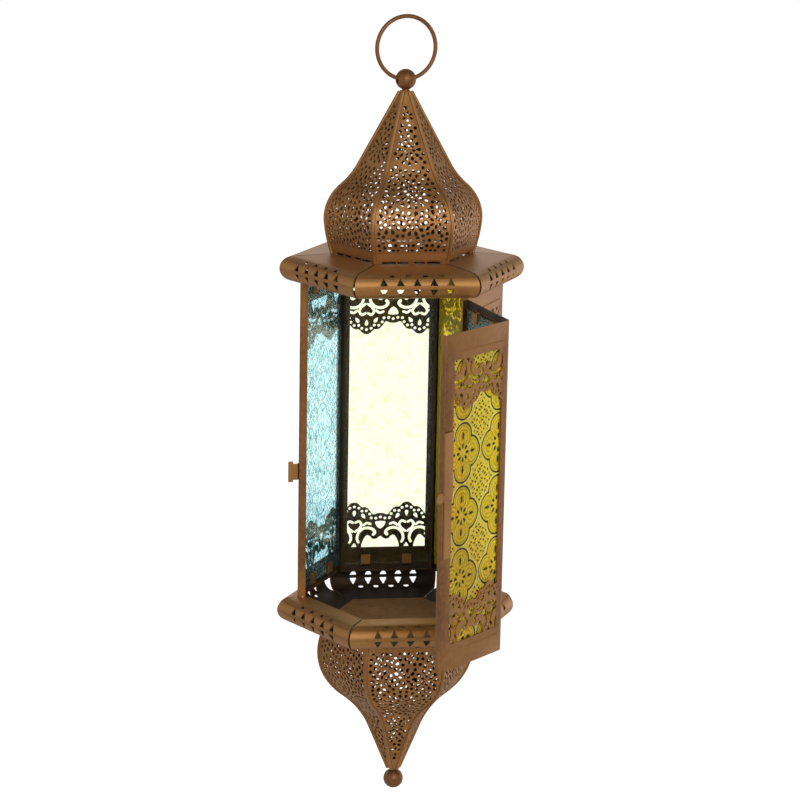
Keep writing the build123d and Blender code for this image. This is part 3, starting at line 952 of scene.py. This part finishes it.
def lace_edge(period):
    """Half a repeat of the lace's wavy edge, from its middle scallop to the top of a hump: across, depth."""
    edge = [(0, 23.8), (2.2, 23.6), (3.8, 22.9), (5.0, 22.8), (6.0, 23.8), (7.2, 25.6), (8.8, 27.4), (10.6, 28.1)]
    edge += [(12.4, 28.0), (13.4, 28.6), (14.8, 30.2), (16.2, 31.1)]
    return edge + [(period / 2, 31.3)]


def lace_line(shift, reach, period):
    """The lace's wavy edge from -reach to reach across a window."""
    half = np.array(lace_edge(period))
    repeat = np.vstack([half, (half * (-1, 1) + (period, 0))[::-1][1:-1]])
    line = np.vstack([repeat + (period * k, 0) for k in range(-3, 4)]) + (shift, 0)
    xs = np.unique(np.concatenate([[-reach, reach], line[(abs(line[:, 0]) < reach), 0]]))
    return np.column_stack([xs, np.interp(xs, line[:, 0], line[:, 1])])


def lace_motif(sizes):
    """Hole loops of one repeat of the lace about its middle scallop: across, depth from the rail."""
    half = sizes.period / MM / 2
    width = sizes.slot / MM
    pearl = sizes.pearl / MM / 2
    bay = [(13.0, 0.0), (12.7, 2.4), (11.4, 5.6), (10.0, 7.9), (8.5, 8.6), (7.0, 7.7)]
    bay += [(5.8, 6.2), (3.7, 5.6), (1.8, 6.5)]
    loops = [np.array(bay + [(0, 8.0)] + [(-x, y) for x, y in bay[::-1]])]
    shield = [(-3.6, 18.0), (-3.4, 16.2), (-2.0, 14.0), (0, 12.6), (2.0, 14.0), (3.4, 16.2), (3.6, 18.0), (0, 18.4)]
    loops.append(rounded(shield))
    scroll = [(14.7, 3.4), (15.7, 6.0), (14.9, 9.8), (12.2, 12.7), (8.5, 13.5), (5.2, 12.5), (3.7, 10.4), (4.6, 8.9)]
    scroll = slot(scroll, width, 2.3)
    crescent = slot([(11.4, 15.4), (9.2, 16.9), (6.7, 16.2)], width)
    heart = [(half - 0.9, 11.0), (half - 3.7, 13.3), (half - 4.9, 16.0), (half - 3.2, 18.2), (half - 0.9, 17.3)]
    heart = slot(heart, width)
    leaf = drop(half - 6.3, 21.7, 4.3, 2.9, radians(-35))
    foot = rounded([(half - 2.0, 0.2), (half + 2.0, 0.2), (half, 3.3)], 0.15)
    for loop in (scroll, crescent, heart, leaf):
        loops += [loop, mirrored(loop)]
    for side in (1, -1):
        loops.append(drop(side * half, 23.6, 4.4, 2.9, 0.0))
        loops.append(disc(side * half, 28.3, pearl, 9))
        loops.append(foot * (side, 1))
    pearls = [(0, 21.0), (3.1, 20.2), (6.2, 20.4), (7.3, 23.2), (9.6, 25.4), (12.6, 25.3), (14.7, 27.4)]
    for x, depth in pearls:
        loops.append(disc(x, depth, pearl, 9))
        if x:
            loops.append(disc(-x, depth, pearl, 9))
    return loops


def lace_holes(shift_top, shift_bottom, low, high, reach):
    """Hole loops of both lace bands and the light between them, for a window of that height and half width."""
    sizes = bpy.context.scene.lantern.lace
    period = sizes.period / MM
    motif = lace_motif(sizes)
    loops = []
    for shift, edge, way in ((shift_top, high, -1), (shift_bottom, low, 1)):
        for k in (-2, -1, 0, 1, 2):
            for loop in motif:
                x = loop[:, 0] + shift + period * k
                if x.max() > -reach and x.min() < reach:
                    loops.append(np.column_stack([x, edge + way * loop[:, 1]]))
    top = lace_line(shift_top, reach, period)
    bottom = lace_line(shift_bottom, reach, period)
    top[:, 1] = high - top[:, 1]
    bottom[:, 1] = low + bottom[:, 1]
    loops.append(np.vstack([bottom, top[::-1]]))
    return loops


def frame_solid(ends, stiles, low, high, shifts, hidden):
    """Points and faces of one body frame on face 0, and its faces painted dark as shade: folded sheet with lace, tabs
    and beads.

    A flange is hidden where another frame covers its corner, and then it gets the dark paint as painted shade.
    """
    thick = bpy.context.scene.lantern.sheet.thickness / MM
    left, right = ends
    bend = tray_bend(left, right)
    face_start = np.interp(left + 3, bend.points[:, 0], bend.marks) - left - 3
    light_left, light_right = left + stiles[0], right - stiles[1]
    light_low, light_high = low + RAIL, high - RAIL
    middle = (light_left + light_right) / 2
    reach = (light_right - light_left) / 2
    loops = [loop + (middle + face_start, 0) for loop in lace_holes(*shifts, light_low, light_high, reach)]
    window = [(light_left, light_low), (light_right, light_low), (light_right, light_high), (light_left, light_high)]
    window = np.array(window) + (face_start, 0)
    outline = np.array([(0, low), (bend.length, low), (bend.length, high), (0, high)])
    lines = [((m, low - 1), (m, high + 1)) for m in bend.marks[1:-1]]
    flat, triangles = flat_sheet(outline, loops, lines, window)
    faces_of = []
    for depth in (0.0, thick):
        x, y = bend.at(flat[:, 0], depth)
        faces_of.append(np.column_stack([x, y, flat[:, 1]]))
    parts = [sheet_solid(*faces_of, triangles)]
    pane_low, pane_high = light_low - PANE_LAP_END, light_high + PANE_LAP_END
    for x in (middle - TAB_OFFSET, middle + TAB_OFFSET):
        for edge, up in ((pane_low, 1), (pane_high, -1)):
            foot = edge - up * (TAB_GAP + thick)
            back = -PANE_BACK + TAB_GAP
            for start, tip in ((thick - BODY_APOTHEM, foot + up * thick), (back, foot + up * TAB_HEIGHT)):
                parts.append(block((x - TAB_HALF, start, min(foot, tip)), (x + TAB_HALF, back + thick, max(foot, tip))))
    for level in (light_low - BEAD_LEVEL, light_high + BEAD_LEVEL):
        for x in np.arange(light_left + BEAD_PITCH / 2, light_right, BEAD_PITCH):
            parts.append(bead(x, level))
    points, faces = joined(parts)
    sheet_faces = len(parts[0][1])
    # Back faces, and flanges hidden behind a neighbour, get the dark paint as painted shade
    dark = set(range(len(triangles), 2 * len(triangles)))
    for k, face in enumerate(faces[:sheet_faces]):
        x, y, _ = points[list(face)].mean(axis=0)
        if y > FLANGE_START - BODY_APOTHEM and hidden[0 if x < middle else 1]:
            dark.add(k)
    return points, faces, dark


def bead(x, z):
    """Points and faces of a small bead pressed up from the face of a body frame."""
    rings = ((0.62, -0.1), (0.5, 0.2), (0.25, 0.36))
    points = []
    for radius, rise in rings:
        for k in range(6):
            points.append((x + radius * cos(pi * k / 3), -BODY_APOTHEM - rise, z + radius * sin(pi * k / 3)))
    points.append((x, -BODY_APOTHEM - 0.4, z))
    faces = []
    for ring in (0, 6):
        for k in range(6):
            n = (k + 1) % 6
            faces.append((ring + k, ring + n, ring + 6 + n, ring + 6 + k))
    faces += [(12 + k, 12 + (k + 1) % 6, 18) for k in range(6)]
    faces.append((5, 4, 3, 2, 1, 0))
    return points, faces


class LANTERN_OT_frames(bpy.types.Operator):
    """Lace frames of the four fixed sides and of the two door panels"""

    bl_idname = "lantern.frames"
    bl_label = "Body frames"

    def execute(self, context):
        stiles = (STILE, STILE)
        side = (BACK_LOW.z, BACK_HIGH.z)
        door = (DOOR_LOW.z, DOOR_HIGH.z)
        shifts = {1: (3.0, -4.0), 2: (-5.0, 2.0), 3: (-2.4, 4.0), 4: (4.0, -3.0)}
        for k, shift in shifts.items():
            points, faces, inner = frame_solid(SIDE_ENDS[k], stiles, *side, shift, (k != 1, k != 4))
            self.frame(f"side_lace_{k}", turned(points, k), faces, inner, f"side_frame_{k}", "lantern")
        points, faces, inner = frame_solid(DOOR_FRONT_ENDS, stiles, *door, (2.0, -2.0), (True, False))
        self.frame("door_lace_front", swung(points), faces, inner, "door_frame_front", "door")
        stiles = (LATCH_STILE, STILE)
        points, faces, inner = frame_solid(DOOR_SIDE_ENDS, stiles, *door, (7.4, -2.0), (False, True))
        self.frame("door_lace_side", swung(turned(points, -1)), faces, inner, "door_frame_side", "door")
        return {"FINISHED"}

    def frame(self, name, points, faces, inner, node, body):
        """One frame in its place."""
        add_piece(name, points, faces, (bronze_paint(), shade_inside_paint()), node, body, inside=inner)


# Panes of pressed glass


def lobe(x, y, half_width, half_height, roundness):
    """Distance, about, from a lobe's outline: below 0 inside it."""
    reach = (np.abs(x / half_width) ** roundness + np.abs(y / half_height) ** roundness) ** (1 / roundness)
    return (reach - 1) * min(half_width, half_height)


def relief(x, y, sizes):
    """Pressed pattern of barbed four-lobed cells: height from 0 to 1, distance from the line, flecks and ribs; the line
    and flecks mark painted shade, the ribs a painted highlight.
    """
    wide, tall = sizes.cell_width / MM, sizes.cell_height / MM
    cx = np.abs((x + wide / 2) % wide - wide / 2)
    cy = np.abs((y + tall / 2) % tall - tall / 2)
    rib = sizes.rib / MM / 2
    side_lobe = lobe(cx - wide / 4, cy, wide / 4 - rib, 0.235 * tall, 1.7)
    end_lobe = lobe(cx, cy - tall / 4, 0.235 * wide, tall / 4 - rib, 2.1)
    line = np.minimum(np.minimum(side_lobe, end_lobe), lobe(cx, cy, 0.24 * wide, 0.24 * tall, 2))

    def ridge(distance, width):
        """A soft line of that width where a distance is 0."""
        return np.clip(1.3 - np.abs(distance) / width, 0, 1)

    far = np.hypot(cx, cy)
    angle = np.arctan2(cy, cx)
    hatch = (0.5 + 0.5 * np.sin(2 * pi * line / 2.3)) * (line < -1.2) * (far > 5.5)
    height = 0.4 + 0.3 * hatch
    petals = ridge(far - 4.2, 1.6) * np.abs(np.cos(4 * angle)) ** 3
    upright = ridge(cx, 0.8) * ridge(cy - 0.27 * tall, 2.4)
    level = ridge(cy, 0.8) * ridge(cx - 0.27 * wide, 2.2)
    strokes = np.maximum(upright, level)
    ring = ridge(far - 1.6, 0.5)
    height = np.maximum(height, np.maximum(ring, petals))
    ox, oy = wide / 2 - cx, tall / 2 - cy
    corner = np.hypot(ox, oy)
    bloom = ridge(corner - 2.6 - 0.9 * np.cos(6 * np.arctan2(oy, ox)), 0.55)
    stipple = np.sin(2 * pi * x / 4.6 + np.sin(y)) * np.sin(2 * pi * y / 3.8 + np.sin(0.7 * x))
    between = line > 2 * rib
    groove = 0.7
    border = ridge(line - rib, groove)
    height = np.where(between, np.maximum(bloom, 0.5 + 0.4 * stipple), height)
    height = np.maximum(height, border)
    height = np.where(np.abs(line) < groove, np.minimum(height, np.abs(line) / groove), height)
    dots = np.clip(-1.1 * stipple, 0, 1) ** 2 * between
    fleck = np.maximum(np.maximum(dots, 0.3 * hatch), np.maximum(strokes, petals))
    return height, line, fleck, np.maximum(border, 0.6 * np.clip(stipple, 0, 1) * between)


def pane_solid(low, high, sizes, phase):
    """Points, faces and pressed marks of a pane on face 0, its pressed side out."""
    grain = sizes.grain / MM
    nx = int((high[0] - low[0]) / grain) + 1
    nz = int((high[2] - low[2]) / grain) + 1
    xs = np.linspace(low[0], high[0], nx)
    zs = np.linspace(low[2], high[2], nz)
    x, z = np.meshgrid(xs, zs)
    middle = ((low[0] + high[0]) / 2 + phase[0], (low[2] + high[2]) / 2 + phase[1])
    height, line, fleck, rib = relief(x - middle[0], z - middle[1], sizes)
    y = low[1] + (1 - height) * sizes.depth / MM
    front = np.column_stack([x.ravel(), y.ravel(), z.ravel()])
    faces = []
    for j in range(nz - 1):
        for i in range(nx - 1):
            k = j * nx + i
            faces.append((k, k + 1, k + nx + 1, k + nx))
    rim = list(range(nx)) + [j * nx + nx - 1 for j in range(1, nz)]
    rim += [(nz - 1) * nx + i for i in range(nx - 2, -1, -1)] + [j * nx for j in range(nz - 2, 0, -1)]
    count = len(front)
    back = front[rim].copy()
    back[:, 1] = high[1]
    for k in range(len(rim)):
        n = (k + 1) % len(rim)
        faces.append((rim[n], rim[k], count + k, count + n))
    faces.append(tuple(count + k for k in range(len(rim)))[::-1])
    marks = {}
    for label, values, plain in (("edge", line, 9.0), ("fleck", fleck, 0.0), ("rib", rib, 0.0)):
        marks[label] = np.concatenate([values.ravel(), np.full(len(rim), plain)])
    return np.vstack([front, back]), faces, marks


class LANTERN_OT_panes(bpy.types.Operator):
    """Panes of coloured pressed glass"""

    bl_idname = "lantern.panes"
    bl_label = "Glass panes"

    def execute(self, context):
        sizes = context.scene.lantern.glass
        lap = PANE_LAP_SIDE
        inset = STILE - lap
        sides = {1: "turquoise", 2: "amber", 3: "green", 4: "turquoise"}
        for k, colour in sides.items():
            left, right = SIDE_ENDS[k]
            self.pane(f"side_pane_{k}", left + STILE - lap, right - STILE + lap, colour, lambda p: turned(p, k),
                      f"side_glass_{k}", "lantern", sizes)
        left, right = DOOR_FRONT_ENDS
        self.pane("door_pane_front", left + inset, right - inset, "green", swung, "door_glass_front", "door", sizes)
        left, right = DOOR_SIDE_ENDS
        self.pane("door_pane_side", left + LATCH_STILE - lap, right - inset, "amber", lambda p: swung(turned(p, -1)),
                  "door_glass_side", "door", sizes, (22.4, -9.2))
        return {"FINISHED"}

    def pane(self, name, left, right, colour, place, node, body, sizes, phase=(0.0, 0.0)):
        """One pane from left to right on face 0, its pattern moved by the phase, put in its place."""
        low_z, high_z = (corner.z for corner in node_box(node))
        low, high = (left, -PANE_FRONT, low_z), (right, -PANE_BACK, high_z)
        points, faces, marks = pane_solid(low, high, sizes, phase)
        piece = add_piece(name, place(points), faces, [pane_glass(colour)], node, body, 50)
        for label, values in marks.items():
            attribute = piece.data.attributes.new(label, "FLOAT", "POINT")
            attribute.data.foreach_set("value", values.astype(np.float32))


# Solids that stay as they are


class LANTERN_OT_fittings(bpy.types.Operator):
    """Paint on the ring, finials, seam strips, floor, hinges, strap and catch"""

    bl_idname = "lantern.fittings"
    bl_label = "Ring, strips and fittings"

    def execute(self, context):
        for name, node in frame["nodes"].items():
            if node.hide_render:
                continue
            node.data.materials.clear()
            node.data.materials.append(floor_paint() if name == "floor_plate" else bronze_paint())
        return {"FINISHED"}


# Studio


def studio_white(seen_level, bounce):
    """White floor: one glow for the camera and through glass, another for the light that it throws up."""
    material = bpy.data.materials.new("studio_white")
    material.use_nodes = True
    tree = material.node_tree
    shader = tree.nodes["Principled BSDF"]
    shader.inputs["Base Color"].default_value = (0.85, 0.85, 0.85, 1)
    shader.inputs["Roughness"].default_value = 0.9
    shader.inputs["Emission Color"].default_value = (1, 1, 1, 1)
    glow = ranged(tree, seen_ray(tree), {"To Min": bounce, "To Max": seen_level})
    tree.links.new(glow, shader.inputs["Emission Strength"])
    return material


def studio_world(ambient, horizon):
    """World that is white to the camera and in glass, pale at the horizon in metal, and darker overhead."""
    world = bpy.data.worlds.new("studio")
    bpy.context.scene.world = world
    world.use_nodes = True
    tree = world.node_tree
    sky = tree.nodes["Background"]
    sky.inputs["Color"].default_value = (1, 1, 1, 1)
    place = tree.nodes.new("ShaderNodeTexCoord")
    split = tree.nodes.new("ShaderNodeSeparateXYZ")
    tree.links.new(place.outputs["Generated"], split.inputs["Vector"])
    overhead = ranged(tree, split.outputs["Z"], {"From Max": 0.6, "To Min": 1.0, "To Max": 0.3})
    glossy = tree.nodes.new("ShaderNodeLightPath").outputs["Is Glossy Ray"]
    metal = ranged(tree, glossy, {"To Min": ambient, "To Max": horizon})
    lit = combined(tree, "MULTIPLY", metal, overhead)
    tree.links.new(combined(tree, "MAXIMUM", lit, seen_ray(tree)), sky.inputs["Strength"])


# Lamps: name, place and size in metres, power in watts
SOFTBOXES = (
    ("key_softbox", (0.2, -1.8, 0.5), 1.0, 16),
    ("left_softbox", (-1.8, 0.2, 0.3), 1.0, 1.5),
    ("right_softbox", (1.6, 0.8, -0.6), 1.0, 5),
    ("back_softbox", (0.4, 1.8, 0.2), 1.4, 5),
)


def softbox(name, place, aim, size, power):
    """A square area lamp at a place, turned to its aim."""
    lamp = bpy.data.lights.new(name, "AREA")
    lamp.size = size
    lamp.energy = power
    light = bpy.data.objects.new(name, lamp)
    bpy.context.scene.collection.objects.link(light)
    light.location = place
    light.rotation_euler = (Vector(aim) - Vector(place)).to_track_quat("-Z", "Y").to_euler()


class LANTERN_OT_stage(bpy.types.Operator):
    """White studio with a floor, soft lamps and the camera"""

    bl_idname = "lantern.stage"
    bl_label = "Studio and camera"

    def execute(self, context):
        scene = context.scene
        sizes = scene.lantern.stage
        scene.view_settings.view_transform = "Standard"
        aim = Vector((0, 0, sizes.aim))
        spread = cos(sizes.elevation)
        back = Vector((sin(sizes.azimuth) * spread, -cos(sizes.azimuth) * spread, sin(sizes.elevation)))
        camera = bpy.data.objects.new("camera", bpy.data.cameras.new("camera"))
        scene.collection.objects.link(camera)
        camera.data.lens = sizes.lens
        camera.data.sensor_width = 36.0
        camera.data.clip_start = 0.05
        camera.data.clip_end = 50.0
        look = (-back).to_track_quat("-Z", "Y").to_matrix()
        look = look @ Matrix.Rotation(sizes.pitch, 3, "X") @ Matrix.Rotation(-sizes.roll, 3, "Z")
        camera.matrix_world = Matrix.Translation(aim + back * sizes.distance) @ look.to_4x4()
        scene.camera = camera
        studio_world(ambient=0.6, horizon=0.9)
        mesh = bpy.data.meshes.new("studio_floor")
        side = 12.0
        mesh.from_pydata([(-side, -side, 0), (side, -side, 0), (side, side, 0), (-side, side, 0)], [], [(0, 1, 2, 3)])
        floor = bpy.data.objects.new("studio_floor", mesh)
        floor.location.z = sizes.floor
        scene.collection.objects.link(floor)
        mesh.materials.append(studio_white(seen_level=0.9, bounce=0.25))
        for name, place, size, power in SOFTBOXES:
            softbox(name, place, aim, size, power)
        return {"FINISHED"}


class LANTERN_PT_panel(bpy.types.Panel):
    """Sizes, colours and steps of the lantern"""

    bl_idname = "LANTERN_PT_panel"
    bl_label = "Lantern"
    bl_space_type = "VIEW_3D"
    bl_region_type = "UI"
    bl_category = "Lantern"

    def draw(self, context):
        settings = context.scene.lantern
        for group in (settings.sheet, settings.pierce, settings.lace, settings.glass, settings.colours, settings.stage):
            box = self.layout.box()
            box.label(text=group.__class__.__doc__)
            for label in group.__class__.__annotations__:
                box.prop(group, label)
        for step in STEPS:
            self.layout.operator(step.bl_idname)


SETTINGS = (SheetSizes, PierceSizes, LaceSizes, GlassSizes, Colours, StageSizes, LanternSettings)
STEPS = (
    LANTERN_OT_dome,
    LANTERN_OT_eaves,
    LANTERN_OT_frames,
    LANTERN_OT_panes,
    LANTERN_OT_fittings,
    LANTERN_OT_stage,
)
CLASSES = SETTINGS + STEPS + (LANTERN_PT_panel,)


def register():
    """Make the lantern's settings, steps and panel known to Blender."""
    for kind in CLASSES:
        bpy.utils.register_class(kind)
    bpy.types.Scene.lantern = bpy.props.PointerProperty(type=LanternSettings)


def unregister():
    """Take them away again."""
    del bpy.types.Scene.lantern
    for kind in reversed(CLASSES):
        bpy.utils.unregister_class(kind)


def main():
    """Make the settings known, then build every piece and the stage."""
    register()
    bpy.ops.lantern.dome()
    bpy.ops.lantern.eaves()
    bpy.ops.lantern.frames()
    bpy.ops.lantern.panes()
    bpy.ops.lantern.fittings()
    bpy.ops.lantern.stage()


if __name__ == "__main__":
    main()
